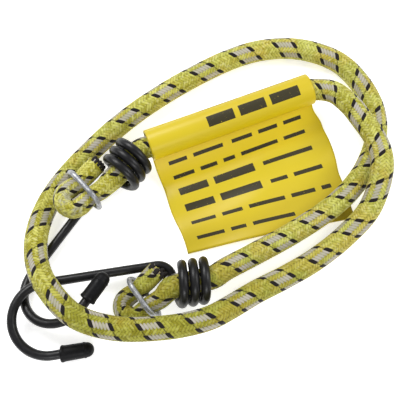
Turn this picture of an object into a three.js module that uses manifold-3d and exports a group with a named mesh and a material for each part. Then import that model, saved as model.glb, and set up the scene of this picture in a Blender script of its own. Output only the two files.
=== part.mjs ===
// Bungee cord: an elastic cord with a wire hook at each end and a folded label, laid down in one
// and a half loops. Millimetres, +Z up. The origin is on the floor, in the middle of the outline.
import * as THREE from 'three';
import { mergeVertices } from 'three/addons/utils/BufferGeometryUtils.js';
import Module from 'manifold-3d';

const wasm = await Module();
wasm.setup();

// Clearances
const GAP = 0.3; // between pieces that touch on the real cord
const TURN_GAP = 0.5; // between stretches of one piece that touch on the real cord
const STRAND_GAP = 0.25; // between rubber strands, and to the sheath
const OVERRUN = 2; // how far a cutting block stands past what it cuts

// Cord
const CORD_DIAMETER = 8;
const SHEATH_WALL = 0.8;
const CORD_RADIUS = CORD_DIAMETER / 2;
const SHEATH_SIDES = 12;
const STRAND_SIDES = 5;
const STRANDS_AROUND = 6; // with one more in the middle
const STEP_TURN = THREE.MathUtils.degToRad(17.5); // most that the cord turns from one section to the next
const STEP_LENGTH = 20; // and the furthest that two sections lie apart
const ROW_SAMPLES = 40; // places looked at between two rows of the route
const TURN_ROWS = 6; // rows round the fold's turn, less one
const MEASURE_STEPS = 8; // points measured between two sections

// Cord where it is folded back and clamped, as shares of its width
const foldWidthShare = 0.84;
const clampWidthShare = 0.76;

// Hook wire
const WIRE_DIAMETER = 3.2;
const WIRE_RADIUS = WIRE_DIAMETER / 2;
const WIRE_SIDES = 8;
const COIL_PLAY = 0.95; // round the cord on every side, too little for the folded end
const COIL_TURNS = 3;
const COIL_STEPS = 16; // sections in a turn
const COIL_PITCH = WIRE_DIAMETER + TURN_GAP;
const COIL_BORE = CORD_DIAMETER + 2 * COIL_PLAY;
const COIL_RADIUS = COIL_BORE / 2 + WIRE_RADIUS;
const COIL_LENGTH = COIL_TURNS * COIL_PITCH;
const LEAD_BEND = 5; // radius where the wire turns from the coil into the shank
const LEAD_STAND = 0.4; // how far that bend starts beyond the last turn
const SHANK_OFFSET = 8.4; // sideways from the coil's axis
const SHANK_REACH = 49.3; // from the coil's middle to the middle of the hook's bend
const HOOK_RADIUS = 12.15; // of the wire's middle line
const BEND_STEPS = 4;
const HOOK_STEPS = 10;

// Tip cap on the end of the hook
const CAP_WALL = 0.85;
const CAP_MOUTH_WALL = 1.05;
const CAP_TIP_WALL = 1.05; // from the end of the bore to where the dome starts
const CAP_DEPTH = 7.6; // of the bore
const CAP_BORE = WIRE_DIAMETER + 2 * GAP;
const CAP_SIDES = 16;
const CAP_DOME_STEPS = 4;
const TIP_LEG = 2.2; // straight wire between the bend and the cap's mouth

// Clamp ring round the two legs of the fold
const RING_WIRE = 1.8;
const RING_SIDES = 8;
const RING_CORNER_STEPS = 4;
const ringCornerShare = 0.8; // corner radius of the ring over half its height

// Folded end of the cord, measured along the fold
const CLAMP_TO_TURN = 5; // from the ring to where the cord turns back
const CUT_TO_CLAMP = 9; // from the ring to the cut end
const CUT_SPREAD = 1.2; // how far the cut end stands off its clamped line

// Label folded round the cord
const LABEL_LENGTH = 62.3;
const LABEL_PLY = 0.5;
const LABEL_PLAY = 1.2; // between the tube and the cord on every side
const LABEL_BORE = CORD_DIAMETER + 2 * LABEL_PLAY;
const LABEL_FLAP = 44.9; // from the tube's axis to the flap's longest edge
const LABEL_FLAP_SHORT = 38.8; // and at the other end
const LABEL_RISE = 5.3; // of the tube's underside over the floor
const LABEL_AXIS_HEIGHT = LABEL_RISE + LABEL_PLY + LABEL_BORE / 2;
const LABEL_RUN = 14; // from the axis to where the flap lies flat
const LABEL_SEAM_ANGLE = THREE.MathUtils.degToRad(-52); // where the flap leaves the tube
const LABEL_STEPS = 6;
const LABEL_SIDES = 20;
const LABEL_X = -20.8; // end of the tube beside hook A
const LABEL_Y = 13.9;
const LABEL_HEADING = THREE.MathUtils.degToRad(21);
const LABEL_BOW = 0.4; // how far the cord bows to either side of the tube's axis
const labelRouteShares = [1, 0.9, 0.5, 0.1, 0]; // places along the tube that hold the cord

const HOOK_A_CLEARANCE = 3.2; // of hook A's coil axis over the strand below its fold
const HOOK_B_CLEARANCE = 0.3; // of hook B's coil over the floor

// How each hook lies: the coil's middle across the floor and its height, the
// heading from the coil to the bend, the pitch that raises the bend and the roll that raises the
// tip. Then how the cord lies in it: its heading through the coil, its fold's heading and slope,
// and how far the cut end stops from the coil.
const HOOK_A = {
  x: -27.9, y: 7.2, height: CORD_DIAMETER + HOOK_A_CLEARANCE,
  heading: THREE.MathUtils.degToRad(-124.4),
  pitch: 0,
  roll: THREE.MathUtils.degToRad(18.4),
  cordHeading: THREE.MathUtils.degToRad(-131),
  foldHeading: THREE.MathUtils.degToRad(-137),
  foldSlope: THREE.MathUtils.degToRad(3.5),
  cutLead: 1.5,
};
const HOOK_B = {
  x: -4.9, y: -34.7, height: COIL_RADIUS + WIRE_RADIUS + HOOK_B_CLEARANCE,
  heading: THREE.MathUtils.degToRad(-169.7),
  pitch: THREE.MathUtils.degToRad(5.1),
  roll: THREE.MathUtils.degToRad(-5.5),
  cordHeading: THREE.MathUtils.degToRad(-165),
  foldHeading: THREE.MathUtils.degToRad(-144),
  foldSlope: THREE.MathUtils.degToRad(-16.5),
  cutLead: 0.9,
};

// Route of the cord from hook B to the label: two places across the floor, and the height of the
// cord's underside. It is chosen by hand.
const ROUTE = [
  [6, -30.2, 3.8], [14.6, -25.3, 2.1], [30.8, -16.2, 1.5], [44.2, -7.1, 1.5],
  [52, 0.4, 1.4], [58.1, 9.4, 0.4], [62, 19.6, 0], [62.4, 30.5, 0], [58.1, 41.7, 0],
  [51.3, 50.1, 0], [42.7, 54.8, 0], [32, 57, 0], [20.7, 56.1, 0],
  [8.9, 52.2, 0], [-13.3, 39.6, 0], [-31.7, 25.4, 0], [-47.8, 8.1, 0],
  [-55.3, -3, 0], [-58.6, -11.9, 0.8], [-59, -20.8, 3.9], [-56.9, -29.6, 7.9],
  [-53.2, -36.6, 10.8], [-43.3, -46.9, 12.2], [-30.1, -51, 11.1], [-13.9, -50.7, 10.2],
  [-5.6, -49.2, 9.2], [1, -47.1, 8.1], [6.9, -43.7, 5.6], [16.5, -37.6, 2.4],
  [26.8, -32.1, 0.5], [37.5, -25.8, 0], [48.5, -17.3, 0.5], [56.9, -8.3, 3.7],
  [60.9, 3.9, 8.7], [60.8, 11.4, 9], [58.7, 17.4, 8.9], [55.5, 23.5, 8.2],
  [51.5, 29.9, 7.6], [45.8, 35.2, 6.9],
];

const UP = new THREE.Vector3(0, 0, 1);

// Direction at a heading, tipped up by a slope
function along(heading, slope = 0) {
  return new THREE.Vector3(
    Math.cos(slope) * Math.cos(heading), Math.cos(slope) * Math.sin(heading), Math.sin(slope));
}

// Level direction to the right of a heading
function rightOf(heading) {
  return new THREE.Vector3(Math.sin(heading), -Math.cos(heading), 0);
}

// A path given by the sections that stand along it, each with its point and tangent. Where widths
// are given too, a section is that share as wide as its shape, and its width lies level.
class SectionPath extends THREE.Curve {
  constructor(points, tangents, widths = null) {
    super();
    this.points = points;
    this.tangents = tangents;
    this.widths = widths;
  }

  get steps() {
    return this.points.length - 1;
  }

  getPointAt(u, target = new THREE.Vector3()) {
    return target.copy(this.points[Math.round(u * this.steps)]);
  }

  getTangentAt(u, target = new THREE.Vector3()) {
    return target.copy(this.tangents[Math.round(u * this.steps)]);
  }

  computeFrenetFrames(segments, closed) {
    if (!this.widths) return super.computeFrenetFrames(segments, closed);
    const normals = this.tangents.map((t, i) =>
      new THREE.Vector3().crossVectors(UP, t).normalize().multiplyScalar(this.widths[i]));
    const binormals = this.tangents.map((t, i) =>
      new THREE.Vector3().crossVectors(t, normals[i]).normalize());
    return { tangents: this.tangents, normals, binormals };
  }
}

// Regular polygon as a shape. Its sides, not its corners, touch the circle when around is set.
function ringPoints(radius, sides, x = 0, y = 0, around = false) {
  const size = around ? radius / Math.cos(Math.PI / sides) : radius;
  return Array.from({ length: sides }, (_, i) => {
    const angle = (2 * Math.PI * (i + 0.5)) / sides;
    return new THREE.Vector2(x + size * Math.cos(angle), y + size * Math.sin(angle));
  });
}

function sweep(shape, path) {
  return new THREE.ExtrudeGeometry(shape, { steps: path.steps, extrudePath: path, bevelEnabled: false });
}

// Tangents of a line of points: along the chord between the neighbours of each
function chordTangents(points) {
  return points.map((p, i) => new THREE.Vector3().subVectors(
    points[Math.min(i + 1, points.length - 1)], points[Math.max(i - 1, 0)]).normalize());
}

// Middle of a hook's coil
function coilMiddle(hook) {
  return new THREE.Vector3(hook.x, hook.y, hook.height);
}

// One end of the cord, from the coil's inner mouth outwards: through the coil, into the fold,
// round the turn and back to the cut end. Each row is a point and the share of the cord's width.
function foldedEnd(hook) {
  const middle = coilMiddle(hook);
  const through = along(hook.cordHeading, hook.pitch);
  const out = along(hook.foldHeading, hook.foldSlope);
  const side = rightOf(hook.foldHeading);
  const half = COIL_LENGTH / 2 + WIRE_RADIUS;
  const mouth = middle.clone().addScaledVector(through, half);
  const clampHalf = (CORD_DIAMETER * clampWidthShare + TURN_GAP) / 2;
  const turnRadius = (CORD_DIAMETER * foldWidthShare + TURN_GAP) / 2;
  const rows = [];
  const add = (point, share) => rows.push({ point, share });
  // a place along the fold, t from the ring, and s sideways from the seam between the legs
  const ringMiddle = mouth.clone()
    .addScaledVector(out, hook.cutLead + CUT_TO_CLAMP).addScaledVector(side, clampHalf);
  const place = (t, s) => ringMiddle.clone().addScaledVector(out, t).addScaledVector(side, s);
  add(middle.clone().addScaledVector(through, -half), 1);
  add(middle.clone(), 1);
  add(mouth, 1);
  add(place(-CUT_TO_CLAMP / 2, -clampHalf - CUT_SPREAD / 2), foldWidthShare);
  add(place(0, -clampHalf), clampWidthShare);
  for (let i = 0; i <= TURN_ROWS; i += 1) {
    const angle = (Math.PI * i) / TURN_ROWS;
    add(place(CLAMP_TO_TURN + turnRadius * Math.sin(angle), -turnRadius * Math.cos(angle)), foldWidthShare);
  }
  add(place(0, clampHalf), clampWidthShare);
  add(place(-CUT_TO_CLAMP / 2, clampHalf + CUT_SPREAD / 2), foldWidthShare);
  add(place(-CUT_TO_CLAMP, clampHalf + CUT_SPREAD), foldWidthShare);
  return { rows, ringMiddle, out, side, clampHalf };
}

// The label's frame: the near end of its tube, its axis and the way its flap points
const labelAxis = along(LABEL_HEADING);
const labelSide = rightOf(LABEL_HEADING);
const labelStart = new THREE.Vector3(LABEL_X, LABEL_Y, LABEL_AXIS_HEIGHT);
const labelEnd = labelStart.clone().addScaledVector(labelAxis, LABEL_LENGTH);

const endA = foldedEnd(HOOK_A);
const endB = foldedEnd(HOOK_B);

// Whole cord, from the cut end by hook B to the cut end by hook A
function cordRows() {
  const loop = ROUTE.map(([x, y, under]) => (
    { point: new THREE.Vector3(x, y, under + CORD_RADIUS), share: 1 }));
  const inLabel = labelRouteShares.map((share) => {
    const bow = LABEL_BOW * (2 * (2 * share - 1) ** 2 - 1);
    return { point: labelStart.clone().lerp(labelEnd, share).addScaledVector(labelSide, bow), share: 1 };
  });
  return [...endB.rows.slice().reverse(), ...loop, ...inLabel, ...endA.rows];
}

// Stands sections along the smooth curve through the rows: at each ring, and wherever the cord has
// turned or run far enough since the last one
function cordPath() {
  const rows = cordRows();
  const curve = new THREE.CatmullRomCurve3(rows.map((row) => row.point), false, 'centripetal');
  const samples = ROW_SAMPLES * (rows.length - 1);
  const at = (i) => {
    const t = i / samples;
    const low = Math.min(Math.floor(i / ROW_SAMPLES), rows.length - 2);
    const row = i / ROW_SAMPLES;
    const share = THREE.MathUtils.lerp(
      rows[low].share, rows[low + 1].share, THREE.MathUtils.smoothstep(row - low, 0, 1));
    const point = curve.getPoint(t);
    point.z = Math.max(point.z, CORD_RADIUS);
    return { point, tangent: curve.getTangent(t), share };
  };
  const picked = [at(0)];
  let last = at(0);
  let turned = 0;
  let run = 0;
  for (let i = 1; i <= samples; i += 1) {
    const here = at(i);
    turned += here.tangent.angleTo(last.tangent);
    run += here.point.distanceTo(last.point);
    const clamped = i % ROW_SAMPLES === 0 && here.share === clampWidthShare;
    if (clamped || turned >= STEP_TURN || run >= STEP_LENGTH || i === samples) {
      picked.push(here);
      turned = 0;
      run = 0;
    }
    last = here;
  }
  return new SectionPath(
    picked.map((s) => s.point), picked.map((s) => s.tangent), picked.map((s) => s.share));
}

const cord = cordPath();

// Least gap between a tube and itself, measured on points along its path. Points that lie less
// than apart from each other along it aren't compared.
function leastGap(path, radius, apart) {
  const places = [];
  let run = 0;
  for (let i = 0; i < path.steps; i += 1) {
    const [from, to] = [path.points[i], path.points[i + 1]];
    const widths = path.widths ? path.widths.slice(i, i + 2) : [1, 1];
    const side = new THREE.Vector3().crossVectors(UP, path.tangents[i]).normalize();
    for (let k = 0; k < MEASURE_STEPS; k += 1) {
      const t = k / MEASURE_STEPS;
      const share = THREE.MathUtils.lerp(widths[0], widths[1], t);
      places.push({ point: from.clone().lerp(to, t), side, share, run: run + t * from.distanceTo(to) });
    }
    run += from.distanceTo(to);
  }
  const reach = (place, line) => {
    const across = place.side.dot(line);
    return radius * Math.sqrt(1 - (1 - place.share * place.share) * across * across);
  };
  let least = Infinity;
  places.forEach((a, i) => places.slice(i + 1).forEach((b) => {
    if (b.run - a.run < apart) return;
    const line = b.point.clone().sub(a.point);
    const distance = line.length();
    line.divideScalar(distance);
    least = Math.min(least, distance - reach(a, line) - reach(b, line));
  }));
  return least;
}

function sheathGeometry() {
  const shape = new THREE.Shape(ringPoints(CORD_RADIUS, SHEATH_SIDES, 0, 0, true));
  shape.holes.push(new THREE.Path(ringPoints(CORD_RADIUS - SHEATH_WALL, SHEATH_SIDES, 0, 0, true)));
  return sweep(shape, cord);
}

function strandGeometry(index) {
  const bore = CORD_RADIUS - SHEATH_WALL;
  const radius = (bore - 2 * STRAND_GAP) / 3;
  const out = index === 0 ? 0 : 2 * radius + STRAND_GAP;
  const angle = (2 * Math.PI * index) / STRANDS_AROUND;
  return sweep(new THREE.Shape(
    ringPoints(radius, STRAND_SIDES, out * Math.cos(angle), out * Math.sin(angle))), cord);
}

// Wire of a hook in its own frame: x along the coil's axis to the bend, z up. It runs from the
// wire's end under the coil, round the coil, out sideways, along the shank and round the bend.
function hookPath() {
  const points = [];
  const count = COIL_TURNS * COIL_STEPS;
  for (let i = 0; i <= count; i += 1) {
    const angle = (2 * Math.PI * i) / COIL_STEPS;
    points.push(new THREE.Vector3(
      COIL_LENGTH * (i / count - 0.5), -COIL_RADIUS * Math.sin(angle), -COIL_RADIUS * Math.cos(angle)));
  }
  for (let i = 0; i <= BEND_STEPS; i += 1) {
    const angle = (Math.PI / 2) * (i / BEND_STEPS);
    points.push(new THREE.Vector3(
      COIL_LENGTH / 2 + LEAD_STAND + LEAD_BEND * (1 - Math.cos(angle)),
      -(SHANK_OFFSET - LEAD_BEND) - LEAD_BEND * Math.sin(angle), -COIL_RADIUS));
  }
  for (let i = 0; i <= HOOK_STEPS; i += 1) {
    const angle = Math.PI * (i / HOOK_STEPS);
    points.push(new THREE.Vector3(
      SHANK_REACH + HOOK_RADIUS * Math.sin(angle),
      HOOK_RADIUS - SHANK_OFFSET - HOOK_RADIUS * Math.cos(angle), -COIL_RADIUS));
  }
  points.push(new THREE.Vector3(
    SHANK_REACH - TIP_LEG - CAP_DEPTH + GAP, 2 * HOOK_RADIUS - SHANK_OFFSET, -COIL_RADIUS));
  return new SectionPath(points, chordTangents(points));
}

function wireGeometry() {
  return sweep(new THREE.Shape(ringPoints(WIRE_RADIUS, WIRE_SIDES)), hookPath());
}

// Moulded cap: a sleeve with a round end, turned about its axis, mouth at the wire's straight leg
function capGeometry() {
  const outer = CAP_BORE / 2 + CAP_WALL;
  const profile = [
    new THREE.Vector2(0, CAP_DEPTH),
    new THREE.Vector2(CAP_BORE / 2, CAP_DEPTH),
    new THREE.Vector2(CAP_BORE / 2, 0),
    new THREE.Vector2(CAP_BORE / 2 + CAP_MOUTH_WALL, 0),
  ];
  for (let i = 0; i <= CAP_DOME_STEPS; i += 1) {
    const angle = (Math.PI / 2) * (i / CAP_DOME_STEPS);
    const radius = i === CAP_DOME_STEPS ? 0 : outer * Math.cos(angle);
    profile.push(new THREE.Vector2(radius, CAP_DEPTH + CAP_TIP_WALL + outer * Math.sin(angle)));
  }
  const geometry = new THREE.LatheGeometry(profile, CAP_SIDES);
  geometry.rotateZ(Math.PI / 2);
  geometry.translate(SHANK_REACH - TIP_LEG, 2 * HOOK_RADIUS - SHANK_OFFSET, -COIL_RADIUS);
  return geometry;
}

// Clamp ring: wire bent to a long round, with its two ends a gap apart under the fold
function ringGeometry(end) {
  const upright = new THREE.Vector3().crossVectors(end.side, end.out).normalize();
  if (upright.z < 0) upright.negate();
  const spread = (CUT_SPREAD * RING_WIRE) / 2 / CUT_TO_CLAMP; // of a leg, within the ring's wire
  const halfWidth = end.clampHalf + (CORD_DIAMETER * clampWidthShare) / 2 + spread + GAP + RING_WIRE / 2;
  const halfHeight = CORD_RADIUS / Math.cos(Math.PI / SHEATH_SIDES) + GAP + RING_WIRE / 2;
  const corner = halfHeight * ringCornerShare;
  const outline = [new THREE.Vector2(TURN_GAP / 2, -halfHeight)];
  const centres = [[1, -1], [1, 1], [-1, 1], [-1, -1]];
  centres.forEach(([sx, sy], quarter) => {
    for (let i = 0; i <= RING_CORNER_STEPS; i += 1) {
      const angle = (Math.PI / 2) * (quarter - 1 + i / RING_CORNER_STEPS);
      outline.push(new THREE.Vector2(
        sx * (halfWidth - corner) + corner * Math.cos(angle),
        sy * (halfHeight - corner) + corner * Math.sin(angle)));
    }
  });
  outline.push(new THREE.Vector2(-TURN_GAP / 2, -halfHeight));
  const points = outline.map((p) => end.ringMiddle.clone()
    .addScaledVector(end.side, p.x).addScaledVector(upright, p.y));
  const path = new SectionPath(points, chordTangents(points));
  return sweep(new THREE.Shape(ringPoints(RING_WIRE / 2, RING_SIDES)), path);
}

function toSolid(geometry) {
  const plain = geometry.clone();
  plain.deleteAttribute('normal');
  plain.deleteAttribute('uv');
  const merged = mergeVertices(plain);
  return new wasm.Manifold(new wasm.Mesh({
    numProp: 3,
    vertProperties: new Float32Array(merged.attributes.position.array),
    triVerts: new Uint32Array(merged.index.array),
  }));
}

function toGeometry(solid) {
  const mesh = solid.getMesh();
  const geometry = new THREE.BufferGeometry();
  geometry.setAttribute('position', new THREE.BufferAttribute(mesh.vertProperties, 3));
  geometry.setIndex(new THREE.BufferAttribute(mesh.triVerts, 1));
  geometry.computeVertexNormals();
  return geometry;
}

// Label: a tube round the cord with a flap of two plies that drops to the floor and lies flat.
// The section is drawn with x away from the axis and y up, and its long edge is cut on a slant.
function labelGeometry() {
  const outer = LABEL_BORE / 2 + LABEL_PLY;
  const flap = 2 * LABEL_PLY;
  const middle = LABEL_BORE / 2 + LABEL_PLY / 2;
  const seam = new THREE.Vector2(
    middle * Math.cos(LABEL_SEAM_ANGLE), LABEL_AXIS_HEIGHT + middle * Math.sin(LABEL_SEAM_ANGLE));
  const drop = Array.from({ length: LABEL_STEPS + 1 }, (_, i) => {
    const share = i / LABEL_STEPS;
    const fall = THREE.MathUtils.smoothstep(share, -1, 1) * 2 - 1;
    return new THREE.Vector2(
      THREE.MathUtils.lerp(seam.x, LABEL_RUN, share), THREE.MathUtils.lerp(seam.y, flap / 2, fall));
  });
  const halfSeam = Math.asin(flap / 2 / outer);
  const tube = Array.from({ length: LABEL_SIDES + 1 }, (_, i) => {
    const angle = LABEL_SEAM_ANGLE + halfSeam + (2 * Math.PI - 2 * halfSeam) * (i / LABEL_SIDES);
    return new THREE.Vector2(outer * Math.cos(angle), LABEL_AXIS_HEIGHT + outer * Math.sin(angle));
  });
  const under = drop.slice(1).map((p) => new THREE.Vector2(p.x, p.y - flap / 2));
  const over = drop.slice(1).map((p) => new THREE.Vector2(p.x, p.y + flap / 2)).reverse();
  const shape = new THREE.Shape([
    ...tube, ...under,
    new THREE.Vector2(LABEL_FLAP, 0), new THREE.Vector2(LABEL_FLAP, flap),
    ...over,
  ]);
  shape.holes.push(new THREE.Path(ringPoints(LABEL_BORE / 2, LABEL_SIDES, 0, LABEL_AXIS_HEIGHT)));
  const strip = new THREE.ExtrudeGeometry(shape, { depth: LABEL_LENGTH, bevelEnabled: false });
  const slant = Math.atan2(LABEL_FLAP - LABEL_FLAP_SHORT, LABEL_LENGTH);
  const block = new THREE.BoxGeometry(LABEL_FLAP, LABEL_AXIS_HEIGHT, 2 * LABEL_LENGTH + OVERRUN);
  block.translate(LABEL_FLAP / 2, 0, 0);
  block.rotateY(-slant);
  block.translate(LABEL_FLAP, 0, 0);
  const geometry = toGeometry(toSolid(strip).subtract(toSolid(block)));
  const frame = new THREE.Matrix4().makeBasis(labelSide, UP, labelAxis.clone().negate());
  frame.setPosition(labelEnd.x, labelEnd.y, 0);
  geometry.applyMatrix4(frame);
  return geometry;
}

const LOOKS = {
  braid: { color: '#c2c233', roughness: 0.85, metalness: 0 },
  rubber: { color: '#c9b58a', roughness: 0.9, metalness: 0 },
  wire: { color: '#17171a', roughness: 0.35, metalness: 0 },
  cap: { color: '#151517', roughness: 0.6, metalness: 0 },
  ring: { color: '#b9bbbd', roughness: 0.35, metalness: 1 },
  label: { color: '#f2d21c', roughness: 0.45, metalness: 0 },
};

function piece(name, geometry, look) {
  const mesh = new THREE.Mesh(geometry, new THREE.MeshStandardMaterial(LOOKS[look]));
  mesh.name = name;
  return mesh;
}

// A hook stands in its own group, turned and tipped as it lies
function hookGroup(hook, letter) {
  const holder = new THREE.Group();
  holder.position.copy(coilMiddle(hook));
  holder.rotation.set(hook.roll, -hook.pitch, hook.heading, 'ZYX');
  holder.add(piece(`hook_${letter}_wire`, wireGeometry(), 'wire'));
  holder.add(piece(`hook_${letter}_tip_cap`, capGeometry(), 'cap'));
  return holder;
}

const group = new THREE.Group();
group.add(piece('braided_sheath', sheathGeometry(), 'braid'));
for (let i = 0; i <= STRANDS_AROUND; i += 1) {
  group.add(piece(`rubber_strand_${i + 1}`, strandGeometry(i), 'rubber'));
}
group.add(hookGroup(HOOK_A, 'a'));
group.add(hookGroup(HOOK_B, 'b'));
group.add(piece('clamp_ring_a', ringGeometry(endA), 'ring'));
group.add(piece('clamp_ring_b', ringGeometry(endB), 'ring'));
group.add(piece('label', labelGeometry(), 'label'));

const cordGap = leastGap(cord, CORD_RADIUS, 2 * CORD_DIAMETER);
const wireGap = leastGap(hookPath(), WIRE_RADIUS, COIL_BORE);
console.log(`Least gap to itself: cord ${cordGap.toFixed(2)} mm, hook wire ${wireGap.toFixed(2)} mm`);

export default group;
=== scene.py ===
"""Bungee cord laid down in loops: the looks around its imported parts.

Every length in the tables below is in millimetres and is scaled to metres when a mesh is made.
"""
import math

import bpy
import numpy as np
from bpy.props import FloatProperty, FloatVectorProperty, IntProperty, PointerProperty
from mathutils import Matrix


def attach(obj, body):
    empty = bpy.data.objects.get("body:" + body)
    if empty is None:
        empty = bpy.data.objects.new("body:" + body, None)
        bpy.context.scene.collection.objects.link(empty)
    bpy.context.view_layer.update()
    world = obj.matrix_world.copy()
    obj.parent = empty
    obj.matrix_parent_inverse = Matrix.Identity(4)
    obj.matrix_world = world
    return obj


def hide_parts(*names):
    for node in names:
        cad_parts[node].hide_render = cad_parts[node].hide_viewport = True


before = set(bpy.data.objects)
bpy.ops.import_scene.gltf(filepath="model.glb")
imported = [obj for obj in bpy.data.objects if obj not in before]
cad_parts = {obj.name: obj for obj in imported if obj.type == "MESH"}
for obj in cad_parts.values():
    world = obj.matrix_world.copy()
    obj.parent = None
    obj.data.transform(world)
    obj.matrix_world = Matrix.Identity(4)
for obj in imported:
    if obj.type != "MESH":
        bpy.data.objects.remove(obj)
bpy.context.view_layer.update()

bl_info = {
    "name": "Bungee Cord",
    "version": (1, 0, 0),
    "blender": (4, 5, 0),
    "location": "3D View > Sidebar > Bungee",
    "description": "Builds a braided bungee cord with its wire hooks, clamp rings and label",
    "category": "Add Mesh",
}

MM = 0.001
TAU = 2 * math.pi
UP = np.array([0.0, 0.0, 1.0])

# The cord's middle line and folds
CORD_DIAMETER = 8.0
CORD_RADIUS = CORD_DIAMETER / 2
TURN_GAP = 0.5  # between a fold's two legs, and between a clamp ring's two ends
FOLD_WIDTH_SHARE = 0.84  # of the cord's width, where it is folded
CLAMP_WIDTH_SHARE = 0.76  # and where it is clamped
CLAMP_TO_TURN = 5.0
CUT_TO_CLAMP = 9.0
CUT_SPREAD = 1.2  # how far the cut end stands off its clamped line
TURN_ROWS = 6
LINE_STEPS = 40  # points of the middle line from one row to the next

# The hooks' wire, coils and caps
WIRE_RADIUS = 1.6
WIRE_PROUD = 0.02
WIRE_DOME = (0.5, 0.75)  # how far from an end the wire rounds off, and how much of its section
COIL_TURNS = 3
COIL_LENGTH = 11.1
COIL_RADIUS = 6.55
LEAD_STAND = 0.4  # how far the bend to the shank starts beyond the last turn
LEAD_BEND = 5.0
SHANK_OFFSET = 8.4
SHANK_REACH = 49.3
HOOK_RADIUS = 12.15
TIP_LEG = 2.2
TIP_STAND = 0.3  # between the wire's end and the bottom of the cap's bore
CAP_DEPTH = 7.6
CAP_LENGTH = 11.4
CAP_SIDES = 56
CAP_SLANT = 0.35  # how far the mouth's cut wanders to either side
# Profile of a cap, from the bore's bottom out over the mouth's lip to the tip: the distance from
# the mouth and the radius
CAP_PROFILE = np.array([
    [4.5, 1.70], [1.2, 1.72], [0.45, 1.80], [0.12, 1.95], [0.0, 2.2], [0.02, 2.55], [0.20, 2.78],
    [0.55, 2.86], [0.95, 2.84], [1.3, 2.75], [1.8, 2.70], [4.0, 2.67], [6.4, 2.64], [7.6, 2.62],
    [7.85, 2.63], [8.0, 2.71], [8.25, 2.74], [8.5, 2.70], [8.7, 2.60], [9.0, 2.50],
])

# The clamp rings' wire
RING_RADIUS = 0.9
RING_PLAY = 0.3
RING_CORNER_SHARE = 0.8
RING_SIDES = 24
RING_DOME = (0.35, 0.8)

# The label's tube, flap and place
LABEL_LENGTH = 62.3
LABEL_PLY = 0.5
FILM_SHARE = 0.8  # of a ply's room that the film fills
LABEL_BORE = 10.4
LABEL_AXIS_HEIGHT = 11.0
LABEL_FLAP = 44.9
LABEL_FLAP_SHORT = 38.8
LABEL_RUN = 14.0  # from the axis to where the flap lies flat
LABEL_SEAM_ANGLE = math.radians(-52)
LABEL_HEADING = 21.0
LABEL_START = np.array([-20.8, 13.9, LABEL_AXIS_HEIGHT])
LABEL_BOW = 0.4  # how far the cord bows to either side of the tube's axis
LABEL_ROUTE_SHARES = (1, 0.9, 0.5, 0.1, 0)
LABEL_STATIONS = 90
FLAP_SAG = (0.7, 3.0)  # how far the flap's edge sags past its cut, all along and more to one end
FLAP_TUCK = 1.8  # how far that end's corner draws in
FLAP_BULGE = 1.9  # how far that end stands out beside the tube
FLAP_RIDGES = 13.5  # from one soft ridge of the flap to the next
# Rows of plain printed bars: the row's middle across the strip from the outer ply's edge, its
# height, the start and the end of each bar along the label
BAR_ROWS = (
    (5.6, 1.5, ((5.0, 15.0), (17.5, 23.0), (25.5, 41.0))),
    (12.4, 1.5, ((5.0, 14.0), (16.5, 24.0), (26.5, 40.0), (42.5, 51.5), (54.0, 57.5))),
    (19.6, 3.2, ((5.0, 16.0), (18.5, 34.0))),
    (19.6, 1.5, ((37.5, 44.0), (46.5, 57.5))),
    (27.0, 3.2, ((5.0, 16.0), (18.5, 34.0))),
    (27.0, 1.5, ((37.5, 57.0),)),
    (33.6, 1.5, ((5.0, 13.0), (15.5, 22.0), (24.5, 29.0), (31.5, 46.0), (48.5, 57.0))),
    (39.4, 1.5, ((5.0, 12.0), (14.5, 26.0), (29.5, 37.5), (40.0, 47.5), (50.0, 57.0))),
    (55.4, 3.8, ((22.0, 32.0), (34.0, 44.0), (46.0, 57.0))),
    (62.4, 1.2, ((21.0, 36.0), (38.5, 56.0))),
)

# How each hook lies: its coil's middle, then its heading, pitch and roll, the cord's heading
# through the coil, the fold's heading and slope, and how far the cut end stops from the coil.
# Then where round the cut end its dark yarns stick out, their radius, and the seeds of its yarns
# and of its wire
HOOKS = {
    "a": {
        "middle": np.array([-27.9, 7.2, 11.2]), "heading": -124.4, "pitch": 0.0, "roll": 18.4,
        "cord_heading": -131.0, "fold_heading": -137.0, "fold_slope": 3.5, "cut_lead": 1.5,
        "dark_ends": (76, 98, 120, 142, 163, 230, 300), "dark_radius": 0.72,
        "yarn_seed": 7, "wire_seed": 3,
    },
    "b": {
        "middle": np.array([-4.9, -34.7, 8.45]), "heading": -169.7, "pitch": 5.1, "roll": -5.5,
        "cord_heading": -165.0, "fold_heading": -144.0, "fold_slope": -16.5, "cut_lead": 0.9,
        "dark_ends": (58, 104, 152, 215, 258), "dark_radius": 0.9,
        "yarn_seed": 11, "wire_seed": 5,
    },
}

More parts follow.
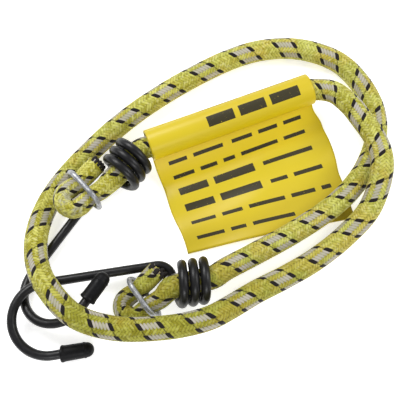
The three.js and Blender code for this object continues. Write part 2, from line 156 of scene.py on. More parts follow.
# Route of the cord from hook B to the label: two places across the floor, and the height of the
# cord's underside
ROUTE = np.array([
    [6, -30.2, 3.8], [14.6, -25.3, 2.1], [30.8, -16.2, 1.5], [44.2, -7.1, 1.5], [52, 0.4, 1.4],
    [58.1, 9.4, 0.4], [62, 19.6, 0], [62.4, 30.5, 0], [58.1, 41.7, 0], [51.3, 50.1, 0],
    [42.7, 54.8, 0], [32, 57, 0], [20.7, 56.1, 0], [8.9, 52.2, 0], [-13.3, 39.6, 0],
    [-31.7, 25.4, 0], [-47.8, 8.1, 0], [-55.3, -3, 0], [-58.6, -11.9, 0.8], [-59, -20.8, 3.9],
    [-56.9, -29.6, 7.9], [-53.2, -36.6, 10.8], [-43.3, -46.9, 12.2], [-30.1, -51, 11.1],
    [-13.9, -50.7, 10.2], [-5.6, -49.2, 9.2], [1, -47.1, 8.1], [6.9, -43.7, 5.6],
    [16.5, -37.6, 2.4], [26.8, -32.1, 0.5], [37.5, -25.8, 0], [48.5, -17.3, 0.5],
    [56.9, -8.3, 3.7], [60.9, 3.9, 8.7], [60.8, 11.4, 9], [58.7, 17.4, 8.9], [55.5, 23.5, 8.2],
    [51.5, 29.9, 7.6], [45.8, 35.2, 6.9],
])

# The braid: columns of stitches round the cord, and the yarns that one turn of the braid holds
COLUMNS = 12
COLUMN_CELLS = 4
STITCH_ROWS = 3
YARNS = 14
BRAID_TURN = 16.4
STITCH = BRAID_TURN / YARNS
LEAN = YARNS / COLUMNS  # of a stitch across its column, in stitches
YARN_ROUND = 0.8  # how far a yarn's edges lie below its middle
COLUMN_ARCH = 0.5  # how far a column's middle stands over its sides, on the same scale
SHEATH_PROUD = 0.03  # how far the highest stitches stand over the cord's radius
DASH_HALF = (0.72, 0.62)  # half of a dark dash: across its yarn, in stitches, and in columns
END_STITCHES = 5  # over which the zigzag of the rows dies away at a cut end
LAY_SAMPLES = 4000  # places where the stitches' count is known along the cord
PATH_POINTS = 260  # points of the path that the cord is laid by
# How the wall turns in at a cut end: the distance from the end, and the radius past the cord's
CUT_RIM = np.array([[2.6, -0.95], [1.2, -0.9], [0.0, -0.8], [0.0, -0.45], [0.0, -0.12]])
FILL_YARNS = 30  # thin cut yarns between the dark ones
FILL_RADIUS = 0.42
YARN_STATIONS = 7
YARN_SIDES = 10
YARN_ROOT = 0.8  # how deep a cut yarn starts behind the rim
# How the braid lies: the distance along the cord, how far it has twisted, in degrees, and how many
# stitches it is ahead of even spacing
BRAID_LAY = np.array([
    [0, 0, 7.8], [65, 3, 8.25], [95, 6, 9.25], [125, 15, 10], [150, 18, 9.6], [165, 15, 9.5],
    [185, 6, 8.75], [215, 8, 8], [255, 6, 7.3], [285, 6, 7.25], [315, -21, 6.75], [335, -28, 5.8],
    [355, -34, 6.25], [385, -54, 7.5], [405, -41, 7.75], [430, -30, 7.5], [455, -45, 8],
    [485, -56, 8.8], [515, -51, 11], [525, -54, 11.3], [650, -54, 11.3],
])

# The stage: what the camera looks at, the floor, and each light's power, width and height, and
# place in metres
LOOK_AT = np.array([-2.5, -2.8, 0.0])
FLOOR_HALF = 1500.0
FLOOR_DROP = 0.1
WORLD_STRENGTH = 0.36
LIGHTS = {
    "key": (2.2, (0.35, 0.20), (-0.22, 0.26, 0.42)),
    "fill": (1.1, (0.25, 0.25), (0.40, 0.08, 0.36)),
    "rim": (0.8, (0.30, 0.10), (0.05, -0.45, 0.30)),
}


def paint(name, description, default):
    """A colour that a user can change."""
    return FloatVectorProperty(name=name, description=description, default=default,
                               subtype="COLOR", size=3, min=0, max=1)


def measure(name, description, default, low, high):
    """A length that a user can change, given here in millimetres."""
    return FloatProperty(name=name, description=description, default=default * MM,
                         min=low * MM, max=high * MM, unit="LENGTH")


class BungeeCordSettings(bpy.types.PropertyGroup):
    """Colours of the sheath and the rubber, and how high a stitch stands"""
    yarn: paint("Yarn", "Colour of the plain yarns", (0.62, 0.585, 0.125))
    yarn_shade: paint("Yarn Shade", "Second colour of the plain yarns", (0.34, 0.305, 0.014))
    tint: paint("Tint", "Warm tint that shows in patches", (0.54, 0.38, 0.05))
    tracer: paint("Tracer", "Colour of the pale tracer yarns", (0.46, 0.425, 0.365))
    dash: paint("Dash", "Colour of the dark tracer yarns", (0.009, 0.006, 0.006))
    rubber: paint("Rubber", "Colour of the rubber strands", (0.58, 0.46, 0.25))
    stitch_height: measure("Stitch Height", "How far a stitch stands over the gaps beside it",
                           0.19, 0, 0.5)


class BungeeHookSettings(bpy.types.PropertyGroup):
    """Colours and sizes of the hooks and their caps"""
    coat: paint("Wire Coat", "Colour of the wire's coat", (0.006, 0.006, 0.007))
    cap: paint("Cap", "Colour of the moulded caps", (0.006, 0.006, 0.007))
    wire_sides: IntProperty(
        name="Wire Sides", description="Faces round the wire", default=28, min=8, max=64)
    waviness: measure("Waviness", "How far the coat's thickness wanders", 0.035, 0, 0.2)


class BungeeRingSettings(bpy.types.PropertyGroup):
    """Colour and shape of the clamp rings"""
    zinc: paint("Zinc", "Colour of the rings' wire", (0.46, 0.47, 0.49))
    flattening: FloatProperty(
        name="Flattening", description="Share of the wire's width lost where the tool pressed it",
        default=0.12, min=0, max=0.4, subtype="FACTOR")


class BungeeLabelSettings(bpy.types.PropertyGroup):
    """Colours of the folded label, and how high its waves stand"""
    vinyl: paint("Vinyl", "Colour of the label", (0.62, 0.485, 0.014))
    # painted light: a brighter vinyl colour laid by the fold, where the tube shades the strip
    vinyl_painted_light: paint("Vinyl Shade", "Richer colour by the fold", (0.86, 0.65, 0.008))
    print_ink: paint("Ink", "Colour of the plain printed bars", (0.028, 0.022, 0.003))
    wave: measure("Wave", "Height of the flap's soft waves", 0.8, 0, 2)


class BungeeStageSettings(bpy.types.PropertyGroup):
    """The camera and the floor"""
    elevation: FloatProperty(
        name="Elevation", description="Angle of the view over the floor",
        default=math.radians(72), min=0, max=math.radians(90), subtype="ANGLE")
    distance: measure("Distance", "From the camera to what it looks at", 254, 50, 2000)
    lens: FloatProperty(
        name="Lens", description="Focal length in millimetres", default=63, min=10, max=200)
    floor: paint("Floor", "Colour of the floor", (0.90, 0.90, 0.90))


# ---------------------------------------------------------------- curves and surfaces

def unit(vectors):
    """Each vector over its own length."""
    return vectors / np.linalg.norm(vectors, axis=-1, keepdims=True)


def smooth(x):
    """0 below 0, 1 above 1, and 3x squared less 2x cubed between."""
    x = np.clip(x, 0, 1)
    return x * x * (3 - 2 * x)


def along(heading, slope=0.0):
    """Direction with a heading across the floor and a slope over it, both in degrees."""
    heading, slope = math.radians(heading), math.radians(slope)
    return np.array([math.cos(slope) * math.cos(heading),
                     math.cos(slope) * math.sin(heading), math.sin(slope)])


def right_of(heading):
    """Level direction at a right angle to a heading, on its right."""
    heading = math.radians(heading)
    return np.array([math.sin(heading), -math.cos(heading), 0.0])


def lengths_along(points):
    """Distance of each point from the first, along the points."""
    steps = np.linalg.norm(np.diff(points, axis=0), axis=1)
    return np.concatenate([[0.0], np.cumsum(steps)])


def at_length(where, lengths, table):
    """Rows of a table at distances along a line, in straight steps between its rows."""
    return np.stack([np.interp(where, lengths, column) for column in table.T], axis=-1)


def spline(points, steps=24):
    """Centripetal Catmull-Rom curve: between two points a cubic whose slopes come from the
    neighbours, each spaced by the square root of the distance between them."""
    ends = np.vstack([2 * points[0] - points[1], points, 2 * points[-1] - points[-2]])
    p0, p1, p2, p3 = ends[:-3], ends[1:-2], ends[2:-1], ends[3:]
    d0, d1, d2 = (np.linalg.norm(b - a, axis=1)[:, None] ** 0.5
                  for a, b in ((p0, p1), (p1, p2), (p2, p3)))
    t1 = ((p1 - p0) / d0 - (p2 - p0) / (d0 + d1) + (p2 - p1) / d1) * d1
    t2 = ((p2 - p1) / d1 - (p3 - p1) / (d1 + d2) + (p3 - p2) / d2) * d1
    t = (np.arange(steps) / steps)[None, :, None]
    curve = (p1[:, None] + t * t1[:, None] + t ** 2 * (3 * (p2 - p1) - 2 * t1 - t2)[:, None]
             + t ** 3 * (2 * (p1 - p2) + t1 + t2)[:, None])
    return np.vstack([curve.reshape(-1, points.shape[1]), points[-1]])


def steady_frames(points):
    """Directions along, across and over a line that don't spin about it. Each station takes an
    upright that isn't along the line, and the spin from each to the next is summed and undone."""
    tangent = unit(np.gradient(points, axis=0))
    helper = np.where(np.abs(tangent[:, 2:]) < 0.8, UP, np.array([1.0, 0.0, 0.0]))
    across = unit(np.cross(helper, tangent))
    over = np.cross(tangent, across)
    carried = across[:-1] - tangent[1:] * np.sum(across[:-1] * tangent[1:], axis=1)[:, None]
    spin = np.arctan2(np.sum(carried * over[1:], axis=1), np.sum(carried * across[1:], axis=1))
    angle = np.concatenate([[0.0], np.cumsum(spin)])[:, None]
    return (tangent, across * np.cos(angle) + over * np.sin(angle),
            over * np.cos(angle) - across * np.sin(angle))


def noise_rows(count, reach, seed):
    """Smooth random numbers from -1 to 1: random ones averaged over a reach of rows."""
    raw = np.random.default_rng(seed).uniform(-1, 1, count + 2 * reach)
    window = np.hanning(2 * reach + 1)
    return np.convolve(raw, window / np.sqrt(np.sum(window ** 2)), mode="valid") * 0.6


def mesh_object(name, vertices, quads, triangles=(), quad_uv=None, triangle_uv=()):
    """Object of quads and triangles, from arrays in millimetres, with a UV map if one is given."""
    triangles, triangle_uv = np.asarray(triangles, int), np.asarray(triangle_uv, float)
    mesh = bpy.data.meshes.new(name)
    mesh.vertices.add(len(vertices))
    mesh.vertices.foreach_set("co", np.ascontiguousarray(vertices * MM, dtype=np.float32).ravel())
    corners = np.concatenate([quads.ravel(), triangles.ravel()]).astype(np.int32)
    mesh.loops.add(len(corners))
    mesh.loops.foreach_set("vertex_index", corners)
    starts = np.concatenate([np.arange(len(quads)) * 4,
                             quads.size + np.arange(len(triangles)) * 3]).astype(np.int32)
    mesh.polygons.add(len(starts))
    mesh.polygons.foreach_set("loop_start", starts)
    if quad_uv is not None:
        layer = mesh.uv_layers.new(name="UVMap")
        flat = np.concatenate([quad_uv.reshape(-1, 2), triangle_uv.reshape(-1, 2)])
        layer.data.foreach_set("uv", np.ascontiguousarray(flat, dtype=np.float32).ravel())
    mesh.update(calc_edges=True)
    mesh.validate()
    mesh.shade_smooth()
    made = bpy.data.objects.new(name, mesh)
    bpy.context.scene.collection.objects.link(made)
    return made


def tube_faces(rows, sides, first=0):
    """Quads of a closed tube and the fans that close its two ends. The two fans' middles come
    after the rings' vertices. Rings run anticlockwise about the line."""
    ring = np.arange(sides)
    following = (ring + 1) % sides
    base = np.arange(rows - 1)[:, None] * sides
    quads = np.stack([base + ring, base + following, base + sides + following,
                      base + sides + ring], axis=-1).reshape(-1, 4)
    last = (rows - 1) * sides
    middle = rows * sides
    near = np.stack([np.full(sides, middle), following, ring], axis=-1)
    far = np.stack([np.full(sides, middle + 1), last + ring, last + following], axis=-1)
    return quads + first, np.concatenate([near, far]) + first


def tube(name, rings, uv=None):
    """Closed tube through rings of points, given as rows by sides by 3. A UV map is given for
    rows by sides + 1 places, so that it runs on across the seam."""
    rows, sides = rings.shape[:2]
    quads, triangles = tube_faces(rows, sides)
    vertices = np.vstack([rings.reshape(-1, 3), rings[0].mean(axis=0), rings[-1].mean(axis=0)])
    if uv is None:
        return mesh_object(name, vertices, quads, triangles)
    quad_uv = np.stack([uv[:-1, :-1], uv[:-1, 1:], uv[1:, 1:], uv[1:, :-1]], axis=2)
    centre = uv.mean(axis=1)
    near = np.stack([np.broadcast_to(centre[0], uv[0, 1:].shape), uv[0, 1:], uv[0, :-1]], axis=1)
    far = np.stack([np.broadcast_to(centre[-1], uv[-1, 1:].shape), uv[-1, :-1], uv[-1, 1:]],
                   axis=1)
    return mesh_object(name, vertices, quads, triangles, quad_uv, np.concatenate([near, far]))


def wire_tube(name, points, across, over, wide, high, sides, dome):
    """Closed wire along a line. Each ring is the middle plus the width times the cosine of the
    turn across it and the height times the sine over it, and near each end both shrink as the
    root of 1 less the square of the share of a dome that is left. Its UV map holds the turn from 0
    to 1 and the distance along the line."""
    lengths = lengths_along(points)
    reach, depth = dome
    from_end = np.clip(np.minimum(lengths, lengths[-1] - lengths) / reach, 0, 1)
    share = np.sqrt(np.clip(1 - (1 - from_end) ** 2 * depth, 0, 1))
    turn = TAU * np.arange(sides) / sides
    rings = (points[:, None]
             + (wide * share)[:, None, None] * across[:, None] * np.cos(turn)[None, :, None]
             + (high * share)[:, None, None] * over[:, None] * np.sin(turn)[None, :, None])
    u = np.arange(sides + 1) / sides
    return tube(name, rings, np.stack(np.broadcast_arrays(u[None], lengths[:, None]), axis=-1))


# ---------------------------------------------------------------- the cord's middle line

def folded_end(hook):
    """One end of the cord, from the coil's inner mouth to the cut end, as rows of x, y, z and the
    share of the cord's width: through the coil, into the fold, round a half circle and back.
    Also the clamp ring's middle and the fold's directions."""
    through = along(hook["cord_heading"], hook["pitch"])
    out = along(hook["fold_heading"], hook["fold_slope"])
    side = right_of(hook["fold_heading"])
    half = COIL_LENGTH / 2 + WIRE_RADIUS
    clamp_half = (CORD_DIAMETER * CLAMP_WIDTH_SHARE + TURN_GAP) / 2
    turn_radius = (CORD_DIAMETER * FOLD_WIDTH_SHARE + TURN_GAP) / 2
    mouth = hook["middle"] + through * half
    ring_middle = mouth + out * (hook["cut_lead"] + CUT_TO_CLAMP) + side * clamp_half

    def place(t, s, share):
        return [*(ring_middle + out * t + side * s), share]

    turn = np.pi * np.arange(TURN_ROWS + 1) / TURN_ROWS
    rows = np.array([
        [*(hook["middle"] - through * half), 1],
        [*hook["middle"], 1],
        [*mouth, 1],
        place(-CUT_TO_CLAMP / 2, -clamp_half - CUT_SPREAD / 2, FOLD_WIDTH_SHARE),
        place(0, -clamp_half, CLAMP_WIDTH_SHARE),
        *(place(CLAMP_TO_TURN + turn_radius * math.sin(a), -turn_radius * math.cos(a),
                FOLD_WIDTH_SHARE) for a in turn),
        place(0, clamp_half, CLAMP_WIDTH_SHARE),
        place(-CUT_TO_CLAMP / 2, clamp_half + CUT_SPREAD / 2, FOLD_WIDTH_SHARE),
        place(-CUT_TO_CLAMP, clamp_half + CUT_SPREAD, FOLD_WIDTH_SHARE),
    ])
    return rows, ring_middle, out, side, clamp_half


def label_frame():
    """The label's near end, its axis and the way that its flap points."""
    return LABEL_START, along(LABEL_HEADING), right_of(LABEL_HEADING)


def cord_rows():
    """Rows of the whole cord, from the cut end by hook B to the cut end by hook A."""
    start, axis, side = label_frame()
    share = np.array(LABEL_ROUTE_SHARES)[:, None]
    bow = LABEL_BOW * (2 * (2 * share - 1) ** 2 - 1)
    in_label = start + axis * LABEL_LENGTH * share + side * bow
    loop = ROUTE + np.array([0, 0, CORD_RADIUS])
    plain = np.vstack([loop, in_label])
    return np.vstack([folded_end(HOOKS["b"])[0][::-1],
                      np.column_stack([plain, np.ones(len(plain))]), folded_end(HOOKS["a"])[0]])


def cord_line():
    """Dense middle line of the cord and the share of its width, with the distance along it. The
    share passes smoothly from row to row, and the line never sinks under the cord's radius."""
    rows = cord_rows()
    points = spline(rows[:, :3], LINE_STEPS)
    points[:, 2] = np.maximum(points[:, 2], CORD_RADIUS)
    place = np.arange(len(points)) / LINE_STEPS
    index = np.minimum(place.astype(int), len(rows) - 2)
    part = smooth(place - index)
    share = rows[index, 3] * (1 - part) + rows[index + 1, 3] * part
    return points, share, lengths_along(points)


# ---------------------------------------------------------------- shader maths

def node_maths(operation, turned=False):
    """A method that adds one Math node. A reflected form puts its own wire second."""
    def method(self, *others):
        values = (*others, self) if turned else (self, *others)
        return self.finish.add("ShaderNodeMath", {"operation": operation}, *values)
    return method


class Wire:
    """A shader socket that adds Math nodes when it is used in an expression."""

    def __init__(self, finish, socket):
        self.finish = finish
        self.socket = socket

    __add__ = node_maths("ADD")
    __radd__ = node_maths("ADD", turned=True)
    __sub__ = node_maths("SUBTRACT")
    __rsub__ = node_maths("SUBTRACT", turned=True)
    __mul__ = node_maths("MULTIPLY")
    __rmul__ = node_maths("MULTIPLY", turned=True)
    __truediv__ = node_maths("DIVIDE")
    __mod__ = node_maths("FLOORED_MODULO")
    floor = node_maths("FLOOR")
    fraction = node_maths("FRACT")
    size = node_maths("ABSOLUTE")
    sine = node_maths("SINE")
    cosine = node_maths("COSINE")
    least = node_maths("MINIMUM")
    most = node_maths("MAXIMUM")
    over = node_maths("GREATER_THAN")
    near = node_maths("COMPARE")  # 1 within a reach of a value, and 0 elsewhere

    def squared(self):
        """This times itself."""
        return self * self

    def ramp(self, low, high):
        """Smoothly from 0 at low to 1 at high."""
        return self.finish.add("ShaderNodeMapRange", {"interpolation_type": "SMOOTHSTEP"},
                               self, low, high, 0.0, 1.0)


class Finish:
    """A material, its shader's steady sockets, and the one method that adds its nodes."""

    def __init__(self, name, sockets):
        self.material = bpy.data.materials.new(name)
        self.material.use_nodes = True
        self.tree = self.material.node_tree
        self.shader = self.tree.nodes["Principled BSDF"]
        for socket, value in sockets.items():
            self.shader.inputs[socket].default_value = value

    def add(self, kind, settings, *values, output=0):
        """A node of a type, with its settings, and the values or links of its sockets."""
        node = self.tree.nodes.new(kind)
        for key, value in settings.items():
            setattr(node, key, value)
        for socket, value in zip([s for s in node.inputs if s.enabled], values):
            if isinstance(value, Wire):
                self.tree.links.new(value.socket, socket)
            elif value is not None:
                socket.default_value = value
        return Wire(self, [s for s in node.outputs if s.enabled][output])

    def mix(self, mask, first, second, blend="MIX"):
        """One colour where the mask is 0, and the other where it is 1."""
        return self.add("ShaderNodeMix", {"data_type": "RGBA", "blend_type": blend},
                        mask, colour(first), colour(second))

    def noise(self, place, scale, detail=2.0, roughness=0.5):
        """Soft noise about 0.5 on a place."""
        return self.add("ShaderNodeTexNoise", {}, place, scale, detail, roughness)

    def place(self):
        """The place on the object, in metres."""
        return self.add("ShaderNodeTexCoord", {}, output=3)

    def uv(self):
        """The two numbers of the piece's own UV map."""
        return self.split(self.add("ShaderNodeUVMap", {"uv_map": "UVMap"}))[:2]

    def split(self, place):
        """The three numbers of a place."""
        node = self.tree.nodes.new("ShaderNodeSeparateXYZ")
        self.tree.links.new(place.socket, node.inputs[0])
        return [Wire(self, s) for s in node.outputs]

    def join(self, x, y, z=0.0):
        """A place from three numbers."""
        return self.add("ShaderNodeCombineXYZ", {}, x, y, z)

    def connect(self, socket, wire):
        """Feeds a wire to one of the shader's sockets."""
        self.tree.links.new(wire.socket, self.shader.inputs[socket])

    def bump(self, height, strength, distance):
        """A bump of a height, in metres, that feeds the shader's normal."""
        self.connect("Normal", self.add("ShaderNodeBump", {}, strength, distance, None, height))


def colour(value):
    """A colour with its alpha, or a wire as it is."""
    return value if isinstance(value, Wire) else (*value, 1.0)


# ---------------------------------------------------------------- materials

def braid_finish(settings):
    """Braid on a UV map of u, once round the cord, and v, the distance along it in stitches. One
    set of yarns climbs by v less the yarns of a turn times u, and shows in the even columns; the
    other leans the other way and shows in the odd ones. Each set's height is the cosine of the
    distance from its columns' middles, less the square of the distance from its yarns' middles,
    and the higher set lies on top. Of each 14 yarns of the first set two are dark, and the five
    between them are pale."""
    f = Finish("braided_yarn", {"Roughness": 0.82, "Specular IOR Level": 0.28,
                                "Sheen Weight": 0.12, "Sheen Roughness": 0.45})
    u, v = f.uv()
    off_middle = ((u * COLUMNS + 0.5) % 2.0 - 1).size()
    arch = (off_middle * math.pi).cosine() * COLUMN_ARCH
    climbing = v - u * YARNS
    falling = v + u * YARNS
    rise = arch - (climbing.fraction() * 2 - 1).squared() * YARN_ROUND
    fall = 0 - arch - (falling.fraction() * 2 - 1).squared() * YARN_ROUND
    on_top = (rise - fall).over(0.0)
    height = rise.most(fall)
    # yarns 1 to 5 are pale, and yarns 0 and 6 are dark, with rounded ends
    place_in_set = climbing % float(YARNS)
    pale = place_in_set.near(3.5, 2.5) * on_top
    from_dark = ((climbing + YARNS / 2) % float(YARNS) - (YARNS / 2 + 0.5)).size().least(
        (place_in_set - 6.5).size())
    outline = ((from_dark / DASH_HALF[0]).squared().squared()
               + (off_middle / DASH_HALF[1]).squared().squared())
    dark = (1 - outline).ramp(0.0, 0.2)
    # each stitch is a little lighter or darker, and warmer or greener in patches
    stitch = f.add("ShaderNodeTexWhiteNoise", {"noise_dimensions": "2D"},
                   f.join(climbing.floor() * on_top + falling.floor() * (1 - on_top),
                          (u * COLUMNS / 2 + on_top * 0.5).floor()), output=0)
    place = f.place()
    x, y, z = f.split(place)
    patch = f.noise(place, 55.0, 3.0, 0.6)
    broad = f.noise(place, 16.0, 1.0)
    speck = f.noise(place, 1500.0, 2.0, 0.6)
    plain = f.mix((patch * 0.9 + stitch * 0.6 + speck * 0.9 - 0.8).ramp(0.08, 0.65),
                  settings.yarn_shade, settings.yarn)
    plain = f.mix((broad * 1.6 - 0.55 + stitch * 0.2).ramp(0.0, 0.6) * 0.45, plain,
                  (0.46, 0.52, 0.12))
    plain = f.mix((f.noise(place, 120.0, 2.0) * broad).ramp(0.22, 0.36) * 0.5, plain,
                  settings.tint)
    fleck = f.noise(place, 900.0, 2.0, 0.5)
    plain = f.mix(fleck.ramp(0.54, 0.66) * 0.45, plain, (0.70, 0.68, 0.32))
    plain = f.mix((1 - fleck.ramp(0.34, 0.46)) * 0.5, plain, (0.27, 0.25, 0.012))
    # painted shade: the strand in front is darkened by where it lies, less so where it bends round
    # on the left
    painted_shade_front = (1 - y.ramp(-46 * MM, -14 * MM)) * (0.3 + x.ramp(-54 * MM, -38 * MM) * 0.7)
    plain = f.mix(painted_shade_front * 0.9, plain, (0.66, 0.66, 0.36), "MULTIPLY")
    pale_tint = f.mix((stitch * 0.5 + speck * 0.6 - 0.3).most(0.0), settings.tracer,
                      (0.36, 0.36, 0.20))
    shade = f.mix(pale, plain, pale_tint)
    # where the fold by hook A has rubbed, the yarns have faded to grey
    _, ring_middle, out, _, _ = folded_end(HOOKS["a"])
    fold = ring_middle + out * 12
    far = (x - fold[0] * MM).squared() + (y - fold[1] * MM).squared()
    rubbed = ((1 - far.ramp((6 * MM) ** 2, (12 * MM) ** 2)) * z.ramp(11 * MM, 15 * MM)
              * f.noise(place, 260.0, 3.0, 0.7).ramp(0.46, 0.60))
    shade = f.mix(rubbed * 0.7, shade, (0.42, 0.42, 0.35))
    # the gaps between stitches are in shade, and a dark yarn shows through where it runs under
    deep = 1 - height.ramp(-0.8, 0.3)
    shade = f.mix(deep * 0.85, shade, (0.28, 0.25, 0.09), "MULTIPLY")
    under = (1 - from_dark.ramp(0.10, 0.32)) * (1 - on_top)
    shade = f.mix((under * 0.6).most(dark), shade, settings.dash)
    f.connect("Base Color", shade)
    # filaments run along each yarn
    across_yarn = climbing * on_top + falling * (1 - on_top)
    filaments = f.noise(f.join(across_yarn * 9.0, u * 30.0), 1.0, 3.0, 0.6)
    fuzz = f.noise(place, 2200.0, 2.0, 0.6)
    f.bump(height * 0.7 + filaments * 0.5 + fuzz * 0.3, 0.6, 0.12 * MM)
    return f.material


def coat_finish(settings):
    """Glossy black vinyl on wire: gloss that wanders in streaks, and a slight orange-peel bump."""
    f = Finish("vinyl_coat", {"Specular IOR Level": 0.34, "Coat Weight": 0.06,
                              "Coat Roughness": 0.25})
    place = f.place()
    u, v = f.uv()
    turn = u * TAU
    streak = f.noise(f.join(v * 0.35, turn.sine() * 1.5, turn.cosine() * 1.5), 1.6, 3.0, 0.6)
    scuff = f.noise(place, 900.0, 4.0, 0.7)
    f.connect("Base Color", f.mix((scuff * streak).ramp(0.24, 0.5) * 0.35, settings.coat,
                                  (0.022, 0.022, 0.027)))
    f.connect("Roughness", 0.26 + streak.ramp(0.3, 0.75) * 0.2 + scuff * 0.08)
    f.bump(streak * 1.2 + f.noise(place, 420.0, 2.0) * 0.4, 0.35, 0.12 * MM)
    return f.material


def cap_finish(settings):
    """Satin moulded plastic with fine grain and a few pale rubs."""
    f = Finish("moulded_cap", {"Specular IOR Level": 0.14})
    place = f.place()
    grain = f.noise(place, 2600.0, 3.0, 0.6)
    rub = f.noise(place, 380.0, 4.0, 0.75)
    f.connect("Base Color", f.mix(rub.ramp(0.52, 0.75) * 0.4, settings.cap, (0.022, 0.022, 0.025)))
    f.connect("Roughness", 0.34 + rub.ramp(0.35, 0.7) * 0.22 + grain * 0.06)
    f.bump(grain * 0.5 + rub * 0.8, 0.3, 0.05 * MM)
    return f.material


def zinc_finish(settings):
    """Dull galvanised wire: cloudy zinc with drawn scratches along it."""
    f = Finish("galvanised_wire", {"Metallic": 0.9})
    place = f.place()
    u, v = f.uv()
    drawn = f.noise(f.join(v * 0.55, u * 34.0), 1.0, 4.0, 0.65)
    cloud = f.noise(place, 700.0, 3.0, 0.6)
    nick = f.add("ShaderNodeTexVoronoi", {"feature": "DISTANCE_TO_EDGE"},
                 f.join(v * 0.8, u * 8.0), 1.0)
    shade = f.mix(cloud.ramp(0.35, 0.7), settings.zinc, (0.27, 0.28, 0.30))
    shade = f.mix(drawn.ramp(0.5, 0.72) * 0.7, shade, (0.78, 0.78, 0.80))
    shade = f.mix((1 - nick.ramp(0.0, 0.05)) * 0.5, shade, (0.12, 0.12, 0.13))
    f.connect("Base Color", shade)
    f.connect("Roughness", 0.30 + cloud * 0.22 + drawn * 0.12)
    f.bump(drawn * 0.7 + cloud * 0.5, 0.4, 0.06 * MM)
    return f.material


def rubber_finish(settings):
    """Dusted natural rubber."""
    f = Finish("latex", {})
    dust = f.noise(f.place(), 1500.0, 3.0, 0.6)
    f.connect("Base Color", f.mix(dust.ramp(0.4, 0.65), settings.rubber, (0.74, 0.66, 0.47)))
    f.connect("Roughness", 0.6 + dust * 0.25)
    f.bump(dust, 0.3, 0.05 * MM)
    return f.material


def label_finish(settings):
    """Printed vinyl on a UV map in millimetres: u along the tube, v across the strip from the
    outer ply's edge round the tube to the inner ply's edge. Plain bars lie in rows."""
    f = Finish("label_vinyl", {"Specular IOR Level": 0.4, "Coat Weight": 0.08,
                               "Coat Roughness": 0.3})
    u, v = f.uv()
    place = f.place()
    cloud = f.noise(place, 28.0, 2.0)
    grain = f.noise(place, 1400.0, 3.0, 0.6)
    film = f.mix(cloud.ramp(0.42, 0.62) * 0.3, settings.vinyl, (0.58, 0.42, 0.016))
    # painted light: the strip by the fold, in the tube's shade, is brightened towards the
    # painted-light colour
    painted_light_by_fold = v.ramp(27.0, 36.0) * (1 - v.ramp(46.0, 57.0))
    film = f.mix(painted_light_by_fold, film, settings.vinyl_painted_light)
    ink = label_bars(u, v)
    worn = f.noise(place, 2400.0, 2.0).ramp(0.22, 0.30)
    f.connect("Base Color", f.mix(ink * worn, film, settings.print_ink))
    f.connect("Roughness", 0.34 + cloud * 0.10 + ink * 0.12)
    f.bump(grain * 0.5 + cloud * 0.5, 0.25, 0.08 * MM)
    return f.material


def label_bars(u, v):
    """1 on a printed bar and 0 off it: the sum over the rows of being in the row, times the sum
    of being between each bar's ends."""
    return sum(v.near(middle, height / 2)
               * sum(u.near((start + end) / 2, (end - start) / 2) for start, end in bars)
               for middle, height, bars in BAR_ROWS)


# ---------------------------------------------------------------- pieces

def give(piece, material, slot, body, *nodes):
    """A piece's material, its body and what it replaces. The record's slot is not used."""
    piece.data.materials.append(material)
    if nodes:
        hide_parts(*nodes)
    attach(piece, body)
    return piece


def stitches(where):
    """Stitches from the cord's start: the distance over a stitch, and what the braid is ahead."""
    return where / STITCH + np.interp(where, BRAID_LAY[:, 0], BRAID_LAY[:, 2])


def sheath(settings):
    """Braided tube: rings stand three to a stitch and zigzag with the stitches, up by the lean
    over an even column and down over an odd one. The radius is the cord's less the stitch height
    times the depth of the two sets of yarns, as in the braid's material. Each cut end turns in
    over the wall and runs down its inner face."""
    points, share, lengths = cord_line()
    tangent = unit(np.gradient(points, axis=0))
    across = unit(np.cross(UP, tangent))
    over = np.cross(tangent, across)
    table = np.column_stack([points, across * share[:, None], over])
    total = lengths[-1]
    sides = COLUMNS * COLUMN_CELLS
    u = np.arange(sides + 1) / sides
    column = u * COLUMNS
    zigzag = LEAN * np.minimum(column % 2, 2 - column % 2)
    even = np.linspace(0, total, LAY_SAMPLES)
    first, last = stitches(0.0), stitches(total)
    base = np.arange(math.ceil(first * STITCH_ROWS), last * STITCH_ROWS)[:, None] / STITCH_ROWS
    ends = smooth(np.minimum(base - first, last - base) / END_STITCHES)
    where = np.interp(base + zigzag[None] * ends, stitches(even), even)
    where[0], where[-1] = 0, total
    arch = COLUMN_ARCH * np.cos(np.pi * np.abs((column + 0.5) % 2 - 1))[None]
    climbing, falling = stitches(where) - YARNS * u, stitches(where) + YARNS * u
    height = np.maximum(arch - YARN_ROUND * (2 * (climbing % 1) - 1) ** 2,
                        -arch - YARN_ROUND * (2 * (falling % 1) - 1) ** 2)
    radius = CORD_RADIUS + SHEATH_PROUD + (settings.stitch_height / MM * (height - COLUMN_ARCH)
                                           / (COLUMN_ARCH + YARN_ROUND))
    # the wall turns in at each cut end
    rim_where, rim_radius = CUT_RIM.T[:, :, None] + np.zeros(sides + 1)
    rim_radius = CORD_RADIUS + rim_radius
    where = np.vstack([rim_where, where, total - rim_where[::-1]])
    radius = np.vstack([rim_radius, radius, rim_radius[::-1]])
    angle = TAU * u[None] + np.radians(np.interp(where, BRAID_LAY[:, 0], BRAID_LAY[:, 1]))
    sampled = at_length(where, lengths, table)
    rings = (sampled[..., :3]
             + radius[..., None] * (sampled[..., 3:6] * np.cos(angle)[..., None]
                                    + sampled[..., 6:9] * np.sin(angle)[..., None]))
    uv = np.stack([np.broadcast_to(u, where.shape), stitches(where)], axis=-1)
    path = at_length(np.linspace(0, total, PATH_POINTS), lengths, points) * MM
    return tube("braided_cord", rings[:, :-1], uv), path


